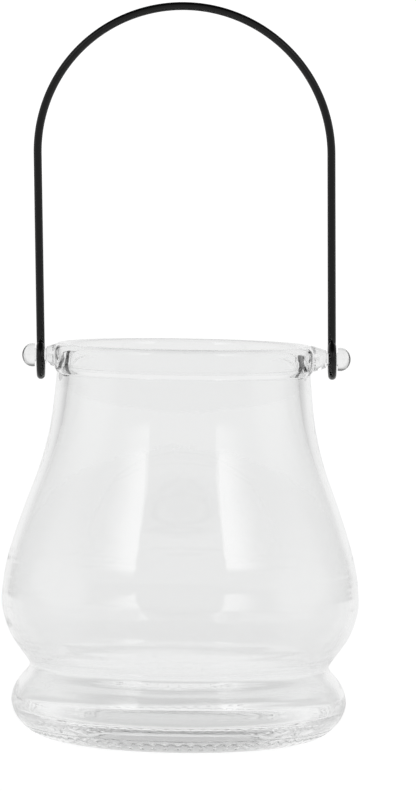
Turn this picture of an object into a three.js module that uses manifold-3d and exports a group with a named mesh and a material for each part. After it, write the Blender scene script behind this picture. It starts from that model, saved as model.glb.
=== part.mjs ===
// A small pear-shaped glass lantern that hangs from a wire handle.
// Millimetres. +Z is up, the origin is the centre of the base on the surface it stands on,
// and X runs through the two glass lugs that carry the handle.
import Module from "manifold-3d";
import * as THREE from "three";
import { mergeVertices } from "three/addons/utils/BufferGeometryUtils.js";

const wasm = await Module();
wasm.setup();

// Glass body
const jarHeight = 96.4;
const bellyRadius = 43.5;
const waistRadius = 36.5;
const waistHeight = 18;
const footRadius = 40.85;
const footHeight = 9.9; // where the foot is widest
const bearingRadius = 28.5; // outer edge of the ring it stands on
const bearingWidth = 3.5;
const puntDepth = 1.8; // the underside is hollowed, so only the ring touches the table
const collarRadius = 31.6;
const collarLow = 89.8;
const neckRadius = 30.9;
const mouthRadius = 28.3;
const wallThickness = 1.8; // from the foot to the belly
const evenWallTop = 36; // above this height the wall thickens towards the neck
const lipHeight = 2.2; // height of the rounding at the top of the collar
const floorHeight = 4.2; // top of the glass floor
const floorRadius = 26; // flat part of the floor, where a candle stands
const jarSegments = 56;

// Glass lugs, turned about one axis that crosses the jar at collar height
const lugHeight = 93.2;
const lugRootRadius = 3.2;
const lugStubRadius = 2.3;
const lugStubEnd = 34;
const lugNeckRadius = 1.5;
const lugHeadStart = 36.8;
const lugHeadRadius = 2.85;
const lugHeadLength = 2.6; // from the widest part of the head to its tip
const lugTip = 39.95;
const lugShift = 0.6; // the lugs and the handle sit this far off the jar's axis
const lugSegments = 24;

// Wire handle
const wireRadius = 1;
const eyeBore = 2.85; // inner radius of the closed eye at each end
const eyeDrop = 0.6; // the eyes rest on top of the lug necks, so they hang below the axis
const eyeOffset = 35.4; // from the middle of the handle to the middle of each eye
const eyeBend = 2; // bend between shank and eye
const archRadius = 35.64;
const archHeight = 49.5; // centre of the arch above the lug axis
const handleLean = 0.7; // degrees it sits askew in the play of its eyes
const handleSkew = 0.0122; // sideways set of the bent wire for each millimetre of height
const wireSides = 10;
const wireSteps = 220;

const glass = new THREE.MeshStandardMaterial({ name: "clear_glass", color: 0xe9eeee, roughness: 0.05 });
const paint = new THREE.MeshStandardMaterial({ name: "black_wire", color: 0x1a1a1b, roughness: 0.4 });

function toSolid(geometry) {
  const bare = geometry.clone();
  bare.deleteAttribute("normal");
  bare.deleteAttribute("uv");
  const merged = mergeVertices(bare, 1e-4);
  return new wasm.Manifold(
    new wasm.Mesh({
      numProp: 3,
      vertProperties: new Float32Array(merged.attributes.position.array),
      triVerts: new Uint32Array(merged.index.array),
    }),
  );
}

function toGeometry(solid) {
  const mesh = solid.getMesh();
  const geometry = new THREE.BufferGeometry();
  geometry.setAttribute("position", new THREE.BufferAttribute(mesh.vertProperties, 3));
  geometry.setIndex(new THREE.BufferAttribute(mesh.triVerts, 1));
  geometry.computeVertexNormals();
  return geometry;
}

// Points of an ellipse between two angles in degrees.
function ellipse(centreX, centreY, radiusX, radiusY, from, to, steps) {
  return Array.from({ length: steps + 1 }, (_, i) => {
    const angle = THREE.MathUtils.degToRad(from + ((to - from) * i) / steps);
    return new THREE.Vector2(centreX + radiusX * Math.cos(angle), centreY + radiusY * Math.sin(angle));
  });
}

// Points of a smooth curve through stations of radius and height.
function smooth(stations, steps) {
  return new THREE.SplineCurve(stations.map(([r, z]) => new THREE.Vector2(r, z))).getPoints(steps);
}

// The inner side of a wall of even thickness, from the points of its outer side.
function inset(points, thickness) {
  return points.slice(1, -1).map((point, i) => {
    const along = points[i + 2].clone().sub(points[i]).normalize();
    return new THREE.Vector2(point.x - along.y * thickness, point.y + along.x * thickness);
  });
}

function jarWall() {
  const underside = [new THREE.Vector2(0, puntDepth), new THREE.Vector2(14, puntDepth * 0.85)];
  const bearing = [
    new THREE.Vector2(bearingRadius - bearingWidth - 1.5, puntDepth * 0.35),
    new THREE.Vector2(bearingRadius - bearingWidth, 0),
  ];
  const heel = ellipse(bearingRadius, footHeight, footRadius - bearingRadius, footHeight, -90, 0, 7);
  const body = smooth(
    [
      [footRadius, footHeight],
      [40.3, 12.2],
      [38.9, 14.7],
      [37.15, 16.7],
      [waistRadius, waistHeight],
      [37, 19.3],
      [38.9, 21.9],
      [41.4, 25.7],
      [43.05, 30.4],
      [bellyRadius, 34.6],
      [42.65, 42.1],
      [40.55, 49.9],
      [37.9, 57.7],
      [34.4, 67.4],
      [32.1, 77.2],
      [neckRadius, collarLow - 1.2],
    ],
    27,
  );
  const collar = smooth(
    [
      [neckRadius, collarLow - 0.5],
      [neckRadius + 0.35, collarLow],
      [collarRadius, collarLow + 0.7],
    ],
    3,
  );
  const lip = ellipse(collarRadius - 1.3, jarHeight - lipHeight, 1.3, lipHeight, 0, 90, 4);
  const innerLip = ellipse(mouthRadius + 1.1, jarHeight - lipHeight, 1.1, lipHeight, 90, 180, 4);
  const lowWall = body.filter(({ y }) => y < evenWallTop);
  const innerWall = inset(lowWall, wallThickness).reverse();
  const [wallTop, wallFoot] = [innerWall.at(0), innerWall.at(-1)];
  const innerNeck = smooth(
    [
      [mouthRadius, jarHeight - lipHeight],
      [28, 91],
      [28.1, 86],
      [29.4, 77.2],
      [32.2, 67.4],
      [36, 57.7],
      [38.7, 49.9],
      [40.8, 42.1],
      [wallTop.x, wallTop.y],
    ],
    13,
  );
  const corner = smooth(
    [
      [wallFoot.x, wallFoot.y],
      [38.6, 8],
      [37, 6.4],
      [33.5, 5.2],
      [29.5, 4.5],
      [floorRadius, floorHeight],
    ],
    8,
  );
  const floor = [new THREE.Vector2(0, floorHeight)];
  const profile = [
    ...underside,
    ...bearing,
    ...heel,
    ...body.slice(1),
    ...collar,
    ...lip,
    ...innerLip.slice(1),
    ...innerNeck.slice(1),
    ...innerWall.slice(1),
    ...corner.slice(1),
    ...floor,
  ];
  return new THREE.LatheGeometry(profile, jarSegments).rotateX(Math.PI / 2);
}

// One lug, turned about the lug axis. It starts inside the collar, so that the two join as one piece of glass.
function lug(side) {
  const root = mouthRadius + 1.8;
  const profile = [
    new THREE.Vector2(0, root),
    new THREE.Vector2(lugRootRadius, root),
    new THREE.Vector2(lugRootRadius, collarRadius - 1),
    ...ellipse(lugStubRadius - 0.5, lugStubEnd - 0.5, 0.5, 0.5, 20, 90, 3),
    new THREE.Vector2(lugNeckRadius, lugStubEnd),
    new THREE.Vector2(lugNeckRadius, lugHeadStart),
    new THREE.Vector2(lugHeadRadius - 0.5, lugHeadStart),
    ...ellipse(0, lugTip - lugHeadLength, lugHeadRadius, lugHeadLength, -12, 85, 7),
    new THREE.Vector2(0, lugTip),
  ];
  const geometry = new THREE.LatheGeometry(profile, lugSegments);
  geometry.rotateZ((-side * Math.PI) / 2);
  return geometry.translate(lugShift, 0, lugHeight);
}

// Centre line of half of the wire, from the free end round the eye and up the shank to the top of the arch.
// The bend carries the shank into the eye, which lies square to the lug axis.
function halfWire(side) {
  const ring = eyeBore + wireRadius;
  const bendHeight = Math.sqrt(ring * ring + 2 * eyeBend * ring);
  const meet = Math.atan2(bendHeight, eyeBend);
  const points = [];
  const eyeStart = Math.PI / 2 + 0.46;
  for (let i = 0; i <= 22; i += 1) {
    const angle = eyeStart + ((2 * Math.PI + meet - eyeStart) * i) / 22;
    points.push([eyeOffset, ring * Math.cos(angle), ring * Math.sin(angle) - eyeDrop]);
  }
  for (let i = 1; i <= 4; i += 1) {
    const angle = Math.PI + meet - (meet * i) / 4;
    points.push([eyeOffset, eyeBend + eyeBend * Math.cos(angle), bendHeight + eyeBend * Math.sin(angle) - eyeDrop]);
  }
  for (let i = 1; i <= 6; i += 1) {
    const height = bendHeight - eyeDrop + ((archHeight - bendHeight + eyeDrop) * i) / 6;
    points.push([eyeOffset + ((archRadius - eyeOffset) * i) / 6, 0, height]);
  }
  for (let i = 1; i <= 14; i += 1) {
    const angle = (Math.PI / 2) * (i / 14);
    points.push([archRadius * Math.cos(angle), 0, archHeight + archRadius * Math.sin(angle)]);
  }
  return points.map(([x, y, z]) => new THREE.Vector3(side * x - handleSkew * z, y, z));
}

function handle() {
  const left = halfWire(-1);
  const right = halfWire(1).reverse().slice(1);
  const centreLine = new THREE.CatmullRomCurve3([...left, ...right], false, "centripetal");
  const section = new THREE.Shape(
    Array.from({ length: wireSides }, (_, i) => {
      const angle = (2 * Math.PI * i) / wireSides;
      return new THREE.Vector2(wireRadius * Math.cos(angle), wireRadius * Math.sin(angle));
    }),
  );
  const wire = new THREE.ExtrudeGeometry(section, { steps: wireSteps, extrudePath: centreLine });
  wire.rotateY(THREE.MathUtils.degToRad(-handleLean));
  return wire.translate(lugShift, 0, lugHeight);
}

function piece(name, solid, material) {
  const mesh = new THREE.Mesh(toGeometry(solid), material);
  mesh.name = name;
  return mesh;
}

const lantern = new THREE.Group();
lantern.name = "jar_lantern";
lantern.add(piece("glass_jar", toSolid(jarWall()).add(toSolid(lug(-1))).add(toSolid(lug(1))), glass));
lantern.add(piece("wire_bail_handle", toSolid(handle()), paint));

export default lantern;
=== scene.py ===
"""A small pear-shaped glass lantern with a black wire handle, on a white studio floor.

Metres. +Z is up, X runs through the two glass lugs and the camera looks along +Y.
"""

import math

import bmesh
import bpy
from mathutils import Matrix, Vector


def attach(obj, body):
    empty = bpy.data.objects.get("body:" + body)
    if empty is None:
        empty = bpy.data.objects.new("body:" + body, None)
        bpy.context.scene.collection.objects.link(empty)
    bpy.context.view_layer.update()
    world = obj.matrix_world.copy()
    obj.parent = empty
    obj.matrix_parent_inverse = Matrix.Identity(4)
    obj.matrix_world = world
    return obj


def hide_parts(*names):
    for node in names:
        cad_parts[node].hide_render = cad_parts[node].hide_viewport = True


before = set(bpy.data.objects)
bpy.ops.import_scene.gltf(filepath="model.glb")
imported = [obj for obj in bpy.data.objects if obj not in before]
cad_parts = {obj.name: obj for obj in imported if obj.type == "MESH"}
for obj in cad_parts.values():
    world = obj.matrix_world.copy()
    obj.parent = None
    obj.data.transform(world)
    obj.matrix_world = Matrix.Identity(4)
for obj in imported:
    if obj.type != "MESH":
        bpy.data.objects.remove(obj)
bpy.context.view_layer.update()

MM = 0.001
TAU = 2 * math.pi

# Glass body, in millimetres
JAR_HEIGHT = 96.4
BELLY_RADIUS = 43.5
WAIST_RADIUS = 36.5
WAIST_HEIGHT = 18.0
FOOT_RADIUS = 40.85
FOOT_HEIGHT = 9.9  # where the foot is widest
BEARING_RADIUS = 28.5  # outer edge of the ring it stands on
BEARING_WIDTH = 3.5
PUNT_DEPTH = 1.8  # the underside is hollowed, so only the ring touches the table
COLLAR_RADIUS = 31.6
COLLAR_LOW = 89.8
NECK_RADIUS = 30.9
MOUTH_RADIUS = 28.3
WALL_THICKNESS = 1.8
EVEN_WALL_TOP = 36.0  # above this height the wall thickens towards the neck
FLOOR_HEIGHT = 4.2  # top of the glass floor
FLOOR_RADIUS = 26.0  # flat part of the floor, where a candle stands
LIP_HEIGHT = 2.2  # height of the rounding at the top of the collar
LIP_OUTER_ROUND = 1.3
LIP_INNER_ROUND = 1.1

# The mould leaves a fine groove round the heel, and a row of small arches pressed in below it
SEAM_HEIGHT = 3.7
SEAM_HALF_WIDTH = 0.2
SEAM_DEPTH = 0.4
PRESSED_COUNT = 76
PRESSED_STEPS = 7  # facets of the glass across each arch
PRESSED_LOW = 1.5
PRESSED_TOP = 2.9
PRESSED_HALF_WIDTH = 0.3
PRESSED_DEPTH = 0.8

# Glass lugs, turned about one axis that crosses the jar at collar height
LUG_HEIGHT = 93.2
LUG_ROOT_START = MOUTH_RADIUS + 1.8  # inside the collar, so that lug and collar join as one piece of glass
LUG_ROOT_END = COLLAR_RADIUS - 1
LUG_ROOT_RADIUS = 3.2
LUG_STUB_RADIUS = 2.3
LUG_STUB_END = 34.0
LUG_STUB_ROUND = 0.5
LUG_NECK_RADIUS = 1.5
LUG_NECK_FILLET = 0.25
LUG_HEAD_START = 36.8
LUG_HEAD_RADIUS = 2.85
LUG_HEAD_BACK = LUG_HEAD_RADIUS - 0.5  # radius of the flat back of the head
LUG_HEAD_LENGTH = 2.6  # from the widest part of the head to its tip
LUG_TIP = 39.95
LUG_SHIFT = 0.6  # the lugs and the handle sit this far off the jar's axis
LUG_SEGMENTS = 64

# Wire handle
WIRE_RADIUS = 1.0
EYE_BORE = 2.85  # inner radius of the closed eye at each end
EYE_DROP = 0.6  # the eyes rest on top of the lug necks, so they hang below the axis
EYE_OFFSET = 35.4  # from the middle of the handle to the middle of each eye
EYE_BEND = 2.0  # bend between shank and eye
EYE_GAP = 0.46  # radians from the top of the eye to the free end of the wire
ARCH_RADIUS = 35.64
ARCH_HEIGHT = 49.5  # centre of the arch above the lug axis
HANDLE_LEAN = 0.7  # degrees it sits askew in the play of its eyes
HANDLE_SKEW = 0.0122  # sideways set of the bent wire for each millimetre of height
WIRE_SIDES = 20
WIRE_END_ROUND = 0.45  # how far the rounded ends stand out, as a part of the wire's radius
EYE_STEPS = 72
BEND_STEPS = 12
SHANK_STEPS = 24
ARCH_HALF_STEPS = 60

# Materials
GLASS_TINT = (0.97, 0.973, 0.972, 1)
GLASS_IOR = 1.5
ENAMEL_COLOUR = (0.004, 0.004, 0.004, 1)
ENAMEL_ROUGHNESS = 0.25
ENAMEL_SHINE = 0.3
FLOOR_COLOUR = (0.25, 0.25, 0.25, 1)

# Surface detail, with depths in metres and scales in noise cells per metre: slow waves, fine mould dimples
# and level ripples in the glass, and orange peel on the enamel. The ripples fade in downwards between two
# heights in metres.
FLOW_SCALE = 110
FLOW_STRETCH = 0.5
FLOW_DEPTH = 0.000015
RIPPLE_SCALE = 260
RIPPLE_STRETCH = 0.12
RIPPLE_DEPTH = 0.0002
RIPPLE_HEIGHTS = (0.052, 0.041)
DIMPLE_SCALE = 420
DIMPLE_DEPTH = 0.000006
PEEL_SCALE = 1300
PEEL_DEPTH = 0.00003

# Camera, in metres and degrees
CAMERA_DISTANCE = 1.3306
CAMERA_HEIGHT = 0.1576
CAMERA_LENS = 249.36
CAMERA_DOWN = 3.169
CAMERA_RIGHT = 0.258
CAMERA_ROLL = 0.89

# Light is followed this many times through the thick foot
GLASS_BOUNCES = 250

# Studio brightness: as the camera sees it, in the bright lanes behind and beside the jar, and elsewhere.
# A lane is full up to its first angle off the middle and ends at its second, in degrees.
SEEN_BRIGHT = 1.1
LANE_BRIGHT = 0.91
ROOM_BRIGHT = 0.6
BACK_LANE = (12, 45)
SIDE_LANES = (4, 34)
# Between these heights in degrees the sky darkens to this part of its brightness
CEILING = (31, 55)
CEILING_BRIGHT = 0.04
# The floor's glow on top of the light it gathers, in the same three places. Near the jar it is as bright as
# in a lane, in full up to the first distance in metres and down to the room's glow at the second.
FLOOR_GLOW_SEEN = 0.95
FLOOR_GLOW_LANE = 0.797
FLOOR_GLOW_ROOM = 0.487
FLOOR_SPOT = (0.45, 0.9)
# Half of the floor's width and how far it lies below the jar, in metres
FLOOR_HALF = 6.0
FLOOR_DROP = 0.0002
# Painted shade and painted gathered light in the floor's glow under the glass: metres from the middle and
# part of the glow
FLOOR_PAINTED_SHADE_AND_LIGHT_RINGS = ((0.025, 0.67), (0.033, 1.15), (0.042, 1.15), (0.052, 0.86), (0.14, 1.0))
# Soft lamps: where each starts, is full, fades and ends, in degrees round and up, and its strength
SOFTBOXES = (
    ((-64, -34, -33, -31), (19, 24, 40, 46), 1.5),
    ((31, 33, 35, 64), (19, 24, 40, 46), 1.5),
)


def new_object(name, mesh):
    obj = bpy.data.objects.new(name, mesh)
    bpy.context.scene.collection.objects.link(obj)
    return obj


def catmull_rom(points, steps):
    """Points along a smooth curve through the given ones, with its ends held."""
    spans = len(points) - 1
    curve = []
    for i in range(steps + 1):
        at = spans * i / steps
        k = min(int(at), spans - 1)
        t = at - k
        p0, p1, p2, p3 = (points[max(0, min(spans, k + j))] for j in (-1, 0, 1, 2))
        curve.append(
            tuple(
                0.5
                * (
                    2 * b
                    + (c - a) * t
                    + (2 * a - 5 * b + 4 * c - d) * t * t
                    + (3 * b - a - 3 * c + d) * t**3
                )
                for a, b, c, d in zip(p0, p1, p2, p3)
            )
        )
    return curve


def ellipse(centre, radii, start, end, steps):
    """Points of an ellipse between two angles in degrees."""
    angles = [math.radians(start + (end - start) * i / steps) for i in range(steps + 1)]
    return [(centre[0] + radii[0] * math.cos(a), centre[1] + radii[1] * math.sin(a)) for a in angles]


def inset(points, thickness):
    """The inner side of a wall of even thickness, from the points of its outer side."""
    inner = []
    for (r0, z0), (r, z), (r1, z1) in zip(points, points[1:], points[2:]):
        length = math.hypot(r1 - r0, z1 - z0)
        inner.append((r - thickness * (z1 - z0) / length, z + thickness * (r1 - r0) / length))
    return inner


def jar_profile():
    """Radius and height of the glass, from the middle of the underside round to the middle of the floor."""
    underside = [(0, PUNT_DEPTH), (7, PUNT_DEPTH * 0.97), (14, PUNT_DEPTH * 0.85), (19, PUNT_DEPTH * 0.65)]
    inner_ring = BEARING_RADIUS - BEARING_WIDTH
    bearing = [(inner_ring - 1.5, PUNT_DEPTH * 0.35), (inner_ring - 0.6, 0.12), (inner_ring, 0)]
    low, high = (
        math.degrees(math.asin(height / FOOT_HEIGHT - 1))
        for height in (PRESSED_LOW - PRESSED_HALF_WIDTH, SEAM_HEIGHT + SEAM_HALF_WIDTH)
    )
    centre = (BEARING_RADIUS, FOOT_HEIGHT)
    radii = (FOOT_RADIUS - BEARING_RADIUS, FOOT_HEIGHT)
    heel = [(BEARING_RADIUS, 0)]
    for start, end, steps in ((-90, low, 6), (low, high, 24), (high, 0, 12)):
        heel += ellipse(centre, radii, start, end, steps)[1:]
    body = catmull_rom(
        [
            (FOOT_RADIUS, FOOT_HEIGHT),
            (40.3, 12.2),
            (38.9, 14.7),
            (37.15, 16.7),
            (WAIST_RADIUS, WAIST_HEIGHT),
            (37.0, 19.3),
            (38.9, 21.9),
            (41.4, 25.7),
            (43.05, 30.4),
            (BELLY_RADIUS, 34.6),
            (42.65, 42.1),
            (40.55, 49.9),
            (37.9, 57.7),
            (34.4, 67.4),
            (32.1, 77.2),
            (NECK_RADIUS, COLLAR_LOW - 1.2),
        ],
        40,
    )
    collar = catmull_rom(
        [
            (NECK_RADIUS, COLLAR_LOW - 1.2),
            (NECK_RADIUS, COLLAR_LOW - 0.5),
            (NECK_RADIUS + 0.35, COLLAR_LOW),
            (COLLAR_RADIUS, COLLAR_LOW + 0.7),
            (COLLAR_RADIUS, COLLAR_LOW + 2),
        ],
        8,
    )
    lip_low = JAR_HEIGHT - LIP_HEIGHT
    lip = ellipse((COLLAR_RADIUS - LIP_OUTER_ROUND, lip_low), (LIP_OUTER_ROUND, LIP_HEIGHT), 0, 90, 8)
    inner_lip = ellipse((MOUTH_RADIUS + LIP_INNER_ROUND, lip_low), (LIP_INNER_ROUND, LIP_HEIGHT), 90, 180, 7)
    inner_wall = inset([point for point in body if point[1] < EVEN_WALL_TOP], WALL_THICKNESS)[::-1]
    inner_neck = catmull_rom(
        [
            (MOUTH_RADIUS, lip_low),
            (28, 91),
            (28.1, 86),
            (29.4, 77.2),
            (32.2, 67.4),
            (36, 57.7),
            (38.7, 49.9),
            (40.8, 42.1),
            inner_wall[0],
        ],
        16,
    )
    corner = catmull_rom(
        [inner_wall[-1], (38.6, 8), (37, 6.4), (33.5, 5.2), (29.5, 4.5), (FLOOR_RADIUS, FLOOR_HEIGHT)], 12
    )
    floor = [(16, FLOOR_HEIGHT), (8, FLOOR_HEIGHT), (0, FLOOR_HEIGHT)]
    return (
        underside
        + bearing
        + heel
        + body[1:]
        + collar[1:]
        + lip
        + inner_lip
        + inner_neck[1:]
        + inner_wall[1:]
        + corner[1:]
        + floor
    )


def turned_mesh(name, profile, segments, relief=None):
    """A closed solid of revolution about Z.

    relief(height, angle) says how far the surface outside the bearing ring is sunk along the radius.
    """
    mesh = bpy.data.meshes.new(name)
    bm = bmesh.new()
    rings = []
    for radius, height in profile:
        if radius < 1e-6:
            rings.append([bm.verts.new((0, 0, height * MM))])
            continue
        ring = []
        for k in range(segments):
            angle = TAU * k / segments
            sunk = relief(height, angle) if relief and radius > BEARING_RADIUS else 0
            r = (radius - sunk) * MM
            ring.append(bm.verts.new((r * math.cos(angle), r * math.sin(angle), height * MM)))
        rings.append(ring)
    for low, high in zip(rings, rings[1:]):
        for k in range(segments):
            a, b = low[k % len(low)], low[(k + 1) % len(low)]
            c, d = high[(k + 1) % len(high)], high[k % len(high)]
            bm.faces.new([v for i, v in enumerate((a, b, c, d)) if v not in (a, b, c, d)[:i]])
    bmesh.ops.recalc_face_normals(bm, faces=bm.faces)
    bm.to_mesh(mesh)
    bm.free()
    return mesh


def heel_marks(height, angle):
    """How deep the groove and the arches on the heel are."""
    across = abs(PRESSED_COUNT * angle / TAU % 1 * 2 - 1)
    arch = PRESSED_LOW + (PRESSED_TOP - PRESSED_LOW) * math.sqrt(1 - across**2)
    seam = SEAM_DEPTH * max(0, 1 - abs(height - SEAM_HEIGHT) / SEAM_HALF_WIDTH)
    return max(seam, PRESSED_DEPTH * max(0, 1 - abs(height - arch) / PRESSED_HALF_WIDTH))


def lug_mesh(side):
    """One lug, turned about the lug axis. Its root lies inside the collar."""
    profile = [(0, LUG_ROOT_START), (LUG_ROOT_RADIUS, LUG_ROOT_START), (LUG_ROOT_RADIUS, LUG_ROOT_END)]
    stub_corner = (LUG_STUB_RADIUS - LUG_STUB_ROUND, LUG_STUB_END - LUG_STUB_ROUND)
    profile += ellipse(stub_corner, (LUG_STUB_ROUND, LUG_STUB_ROUND), 20, 90, 6)
    fillet = (LUG_NECK_FILLET, LUG_NECK_FILLET)
    fillet_middle = LUG_NECK_RADIUS + LUG_NECK_FILLET
    profile += ellipse((fillet_middle, LUG_STUB_END + LUG_NECK_FILLET), fillet, 270, 180, 4)
    profile += ellipse((fillet_middle, LUG_HEAD_START - LUG_NECK_FILLET), fillet, 180, 90, 4)
    profile += [(LUG_HEAD_BACK, LUG_HEAD_START)]
    profile += ellipse((0, LUG_TIP - LUG_HEAD_LENGTH), (LUG_HEAD_RADIUS, LUG_HEAD_LENGTH), -12, 87, 24)
    profile += [(0, LUG_TIP)]
    mesh = turned_mesh("lug", profile, LUG_SEGMENTS)
    turn = Matrix.Rotation(side * math.pi / 2, 4, "Y")
    mesh.transform(Matrix.Translation((LUG_SHIFT * MM, 0, LUG_HEIGHT * MM)) @ turn)
    return mesh


def join(obj, others):
    """Joins other solids to an object as one closed skin, and deletes them."""
    for other in others:
        step = obj.modifiers.new("join", "BOOLEAN")
        step.operation = "UNION"
        step.solver = "EXACT"
        step.object = other
    bpy.context.view_layer.update()
    whole = bpy.data.meshes.new_from_object(obj.evaluated_get(bpy.context.evaluated_depsgraph_get()))
    obj.modifiers.clear()
    obj.data = whole
    for other in others:
        bpy.data.objects.remove(other)


def smooth_by_angle(mesh, degrees):
    """Smooth shading, with edges sharper than the angle kept crisp."""
    bm = bmesh.new()
    bm.from_mesh(mesh)
    for face in bm.faces:
        face.smooth = True
    for edge in bm.edges:
        edge.smooth = len(edge.link_faces) == 2 and edge.calc_face_angle(0) < math.radians(degrees)
    bm.to_mesh(mesh)
    bm.free()


def half_wire(side):
    """Centre line of half of the wire in millimetres, from its end round the eye to the top of the arch."""
    ring = EYE_BORE + WIRE_RADIUS
    bend_height = math.sqrt(ring * ring + 2 * EYE_BEND * ring)
    meet = math.atan2(bend_height, EYE_BEND)
    start = math.pi / 2 + EYE_GAP
    points = []
    for i in range(EYE_STEPS + 1):
        angle = start + (TAU + meet - start) * i / EYE_STEPS
        points.append((EYE_OFFSET, ring * math.cos(angle), ring * math.sin(angle) - EYE_DROP))
    foot = bend_height - EYE_DROP
    for i in range(1, BEND_STEPS + 1):
        angle = math.pi + meet - meet * i / BEND_STEPS
        points.append((EYE_OFFSET, EYE_BEND + EYE_BEND * math.cos(angle), foot + EYE_BEND * math.sin(angle)))
    for i in range(1, SHANK_STEPS + 1):
        part = i / SHANK_STEPS
        out = EYE_OFFSET + (ARCH_RADIUS - EYE_OFFSET) * part
        points.append((out, 0, foot + (ARCH_HEIGHT - foot) * part))
    for i in range(1, ARCH_HALF_STEPS + 1):
        angle = math.pi / 2 * i / ARCH_HALF_STEPS
        points.append((ARCH_RADIUS * math.cos(angle), 0, ARCH_HEIGHT + ARCH_RADIUS * math.sin(angle)))
    return [Vector((side * x - HANDLE_SKEW * z, y, z)) for x, y, z in points]


def wire_mesh(name, path, radius, sides):
    """A round wire along a path, with rounded ends."""
    tangents = [
        (path[min(i + 1, len(path) - 1)] - path[max(i - 1, 0)]).normalized() for i in range(len(path))
    ]
    across = tangents[0].orthogonal().normalized()
    mesh = bpy.data.meshes.new(name)
    bm = bmesh.new()
    rings = []

    def add_ring(centre, tangent, size):
        up = tangent.cross(across)
        turn = [TAU * k / sides for k in range(sides)]
        rings.append([bm.verts.new(centre + size * (math.cos(a) * across + math.sin(a) * up)) for a in turn])

    def add_end(centre, outward, tangent, tip_first):
        rounding = [math.radians(a) for a in (15, 30, 45, 60, 75)]
        for a in reversed(rounding) if tip_first else rounding:
            out = radius * WIRE_END_ROUND * math.sin(a)
            add_ring(centre + outward * out, tangent, radius * math.cos(a))

    add_end(path[0], -tangents[0], tangents[0], True)
    for i, (centre, tangent) in enumerate(zip(path, tangents)):
        if i:
            across = (tangents[i - 1].rotation_difference(tangent) @ across).normalized()
        across = (across - tangent * across.dot(tangent)).normalized()
        add_ring(centre, tangent, radius)
    add_end(path[-1], tangents[-1], tangents[-1], False)
    for low, high in zip(rings, rings[1:]):
        for k in range(sides):
            bm.faces.new((low[k], low[(k + 1) % sides], high[(k + 1) % sides], high[k]))
    bm.faces.new(list(reversed(rings[0])))
    bm.faces.new(rings[-1])
    bmesh.ops.recalc_face_normals(bm, faces=bm.faces)
    bm.to_mesh(mesh)
    bm.free()
    return mesh


def node(tree, kind, **settings):
    made = tree.nodes.new(kind)
    for name, value in settings.items():
        setattr(made, name, value)
    return made


def maths(tree, operation, *values):
    """A Math node's output, fed by numbers or by other outputs."""
    made = node(tree, "ShaderNodeMath", operation=operation)
    for socket, value in zip(made.inputs, values):
        if isinstance(value, (int, float)):
            socket.default_value = value
        else:
            tree.links.new(value, socket)
    return made.outputs[0]


def ramp(tree, value, start, end, low=0.0, high=1.0):
    """A smooth step of a value from low at start to high at end."""
    made = node(tree, "ShaderNodeMapRange", interpolation_type="SMOOTHSTEP")
    tree.links.new(value, made.inputs["Value"])
    flip = start > end
    for name, number in zip(
        ("From Min", "From Max", "To Min", "To Max"),
        (end, start, high, low) if flip else (start, end, low, high),
    ):
        made.inputs[name].default_value = number
    return made.outputs[0]


def noise(tree, place, scale, detail):
    made = node(tree, "ShaderNodeTexNoise")
    made.inputs["Scale"].default_value = scale
    made.inputs["Detail"].default_value = detail
    tree.links.new(place, made.inputs["Vector"])
    return made.outputs["Fac"]


def bump(tree, height, depth, under=None):
    """Raises a surface by up to depth metres, over the normal of another bump if there is one."""
    made = node(tree, "ShaderNodeBump")
    made.inputs["Distance"].default_value = depth
    tree.links.new(height, made.inputs["Height"])
    if under:
        tree.links.new(under, made.inputs["Normal"])
    return made.outputs["Normal"]


def stretched(tree, place, *scale):
    made = node(tree, "ShaderNodeMapping")
    made.inputs["Scale"].default_value = scale
    tree.links.new(place, made.inputs["Vector"])
    return made.outputs["Vector"]


def glass_material():
    mat = bpy.data.materials.new("pressed_clear_glass")
    mat.use_nodes = True
    tree = mat.node_tree
    shader = tree.nodes["Principled BSDF"]
    shader.inputs["Base Color"].default_value = GLASS_TINT
    shader.inputs["Roughness"].default_value = 0.0
    shader.inputs["IOR"].default_value = GLASS_IOR
    shader.inputs["Transmission Weight"].default_value = 1
    place = node(tree, "ShaderNodeTexCoord").outputs["Object"]
    split = node(tree, "ShaderNodeSeparateXYZ")
    tree.links.new(place, split.inputs[0])
    flow = noise(tree, stretched(tree, place, 1, 1, FLOW_STRETCH), FLOW_SCALE, 2)
    dimples = noise(tree, place, DIMPLE_SCALE, 1)
    ripples = noise(tree, stretched(tree, place, RIPPLE_STRETCH, RIPPLE_STRETCH, 1), RIPPLE_SCALE, 1)
    ripples = maths(tree, "MULTIPLY", ripples, ramp(tree, split.outputs["Z"], *RIPPLE_HEIGHTS))
    skin = bump(tree, flow, FLOW_DEPTH)
    skin = bump(tree, dimples, DIMPLE_DEPTH, skin)
    skin = bump(tree, ripples, RIPPLE_DEPTH, skin)
    tree.links.new(skin, shader.inputs["Normal"])
    return mat


def wire_material():
    mat = bpy.data.materials.new("satin_black_enamel")
    mat.use_nodes = True
    tree = mat.node_tree
    shader = tree.nodes["Principled BSDF"]
    shader.inputs["Base Color"].default_value = ENAMEL_COLOUR
    shader.inputs["Roughness"].default_value = ENAMEL_ROUGHNESS
    shader.inputs["Specular IOR Level"].default_value = ENAMEL_SHINE
    place = node(tree, "ShaderNodeTexCoord")
    peel = noise(tree, place.outputs["Object"], PEEL_SCALE, 2)
    tree.links.new(bump(tree, peel, PEEL_DEPTH), shader.inputs["Normal"])
    return mat


def make_jar():
    mesh = turned_mesh("glass_jar_fine", jar_profile(), PRESSED_COUNT * PRESSED_STEPS, heel_marks)
    jar = new_object("jar_glass", mesh)
    lugs = [new_object("lug", lug_mesh(side)) for side in (-1, 1)]
    join(jar, lugs)
    smooth_by_angle(jar.data, 40)
    jar.data.materials.clear()
    jar.data.materials.append(glass_material())
    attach(jar, "jar")
    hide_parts("glass_jar")


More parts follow.
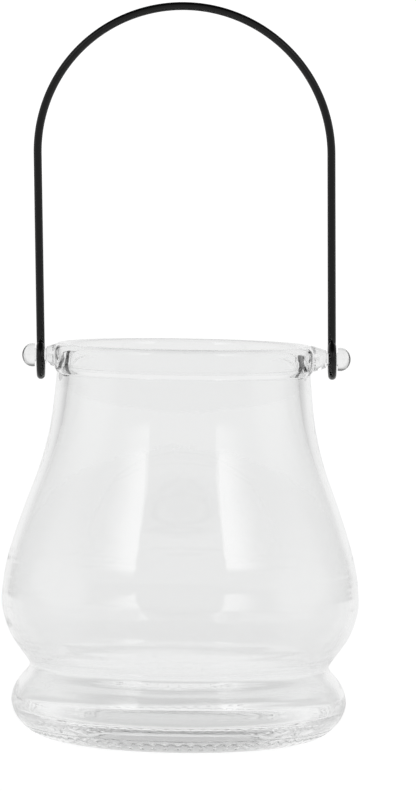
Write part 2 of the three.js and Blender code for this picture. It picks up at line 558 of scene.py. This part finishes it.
def make_handle():
    path = half_wire(-1) + half_wire(1)[-2::-1]
    lean = Matrix.Rotation(math.radians(-HANDLE_LEAN), 4, "Y")
    hung = Matrix.Translation((LUG_SHIFT, 0, LUG_HEIGHT)) @ lean
    path = [(hung @ point) * MM for point in path]
    mesh = wire_mesh("handle_wire", path, WIRE_RADIUS * MM, WIRE_SIDES)
    smooth_by_angle(mesh, 50)
    handle = new_object("handle_wire", mesh)
    mesh.materials.append(wire_material())
    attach(handle, "bail")
    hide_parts("wire_bail_handle")


def seen_as(tree, value, direct):
    """A value for light and for what the glass shows, and a plain one where the camera looks directly."""
    camera_ray = node(tree, "ShaderNodeLightPath").outputs["Is Camera Ray"]
    return maths(
        tree,
        "ADD",
        maths(tree, "MULTIPLY", value, maths(tree, "SUBTRACT", 1.0, camera_ray)),
        maths(tree, "MULTIPLY", camera_ray, direct),
    )


def in_lane(tree, towards_side, towards_back):
    """1 in the lanes behind and beside the jar and 0 elsewhere, from the X and Y parts of a direction."""
    edges = (math.cos(math.radians(angle)) for angle in BACK_LANE + SIDE_LANES)
    back_full, back_edge, side_full, side_edge = edges
    back = ramp(tree, towards_back, back_edge, back_full)
    side = ramp(tree, maths(tree, "ABSOLUTE", towards_side), side_edge, side_full)
    return maths(tree, "MAXIMUM", back, side)


def make_floor():
    mesh = bpy.data.meshes.new("floor")
    corners = [(x * FLOOR_HALF, y * FLOOR_HALF, 0) for x, y in ((-1, -1), (1, -1), (1, 1), (-1, 1))]
    mesh.from_pydata(corners, [], [(0, 1, 2, 3)])
    floor = new_object("floor", mesh)
    mat = bpy.data.materials.new("white_floor")
    mat.use_nodes = True
    tree = mat.node_tree
    shader = tree.nodes["Principled BSDF"]
    shader.inputs["Base Color"].default_value = FLOOR_COLOUR
    shader.inputs["Roughness"].default_value = 1
    shader.inputs["Specular IOR Level"].default_value = 0
    shader.inputs["Emission Color"].default_value = (1, 1, 1, 1)
    place = node(tree, "ShaderNodeTexCoord")
    split = node(tree, "ShaderNodeSeparateXYZ")
    tree.links.new(place.outputs["Object"], split.inputs[0])
    length = node(tree, "ShaderNodeVectorMath", operation="LENGTH")
    tree.links.new(place.outputs["Object"], length.inputs[0])
    distance = length.outputs["Value"]
    towards_side = maths(tree, "DIVIDE", split.outputs["X"], distance)
    towards_back = maths(tree, "DIVIDE", split.outputs["Y"], distance)
    lane = in_lane(tree, towards_side, towards_back)
    bright = maths(tree, "MAXIMUM", lane, ramp(tree, distance, FLOOR_SPOT[1], FLOOR_SPOT[0]))
    glow = ramp(tree, bright, 0, 1, FLOOR_GLOW_ROOM, FLOOR_GLOW_LANE)
    # Painted shade under the glass and a painted band of gathered light round its foot, multiplied into the
    # floor's glow
    glow = maths(tree, "MULTIPLY", glow, FLOOR_PAINTED_SHADE_AND_LIGHT_RINGS[0][1])
    for (near, inner), (far, outer) in zip(FLOOR_PAINTED_SHADE_AND_LIGHT_RINGS, FLOOR_PAINTED_SHADE_AND_LIGHT_RINGS[1:]):
        glow = maths(tree, "MULTIPLY", glow, ramp(tree, distance, near, far, 1.0, outer / inner))
    tree.links.new(seen_as(tree, glow, FLOOR_GLOW_SEEN), shader.inputs["Emission Strength"])
    mesh.materials.append(mat)
    floor.location.z = -FLOOR_DROP


def softbox(tree, azimuth, elevation, sides, heights, strength):
    """Light from a patch of the sky, with the degrees where it starts, is full, fades and ends each way."""
    patch = strength
    for angle, (start, full, fading, end) in ((azimuth, sides), (elevation, heights)):
        patch = maths(tree, "MULTIPLY", patch, ramp(tree, angle, start, full))
        patch = maths(tree, "MULTIPLY", patch, ramp(tree, angle, end, fading))
    return patch


def make_light():
    """A white studio as a sky: bright behind and beside the jar, dark overhead, two soft lamps in front."""
    world = bpy.data.worlds.new("studio")
    bpy.context.scene.world = world
    world.use_nodes = True
    tree = world.node_tree
    direction = node(tree, "ShaderNodeTexCoord")
    split = node(tree, "ShaderNodeSeparateXYZ")
    tree.links.new(direction.outputs["Generated"], split.inputs[0])
    x, y, z = split.outputs
    azimuth = maths(tree, "DEGREES", maths(tree, "ARCTAN2", x, maths(tree, "MULTIPLY", y, -1.0)))
    elevation = maths(tree, "DEGREES", maths(tree, "ARCSINE", z))
    total = ramp(tree, in_lane(tree, x, y), 0, 1, ROOM_BRIGHT, LANE_BRIGHT)
    total = maths(tree, "MULTIPLY", total, ramp(tree, elevation, *CEILING, 1.0, CEILING_BRIGHT))
    for lamp in SOFTBOXES:
        total = maths(tree, "ADD", total, softbox(tree, azimuth, elevation, *lamp))
    tree.links.new(seen_as(tree, total, SEEN_BRIGHT), tree.nodes["Background"].inputs["Strength"])
    tree.nodes["Background"].inputs["Color"].default_value = (1, 1, 1, 1)


def make_camera():
    data = bpy.data.cameras.new("camera")
    data.lens = CAMERA_LENS
    data.sensor_width = 36
    camera = new_object("camera", data)
    camera.matrix_world = (
        Matrix.Translation((0, -CAMERA_DISTANCE, CAMERA_HEIGHT))
        @ Matrix.Rotation(math.radians(-CAMERA_RIGHT), 4, "Z")
        @ Matrix.Rotation(math.radians(90 - CAMERA_DOWN), 4, "X")
        @ Matrix.Rotation(math.radians(CAMERA_ROLL), 4, "Z")
    )
    bpy.context.scene.camera = camera


make_jar()
make_handle()
make_floor()
make_light()
make_camera()
bpy.context.scene.view_settings.view_transform = "Standard"
bpy.context.scene.cycles.max_bounces = GLASS_BOUNCES
bpy.context.scene.cycles.transmission_bounces = GLASS_BOUNCES
bpy.context.scene.cycles.glossy_bounces = GLASS_BOUNCES
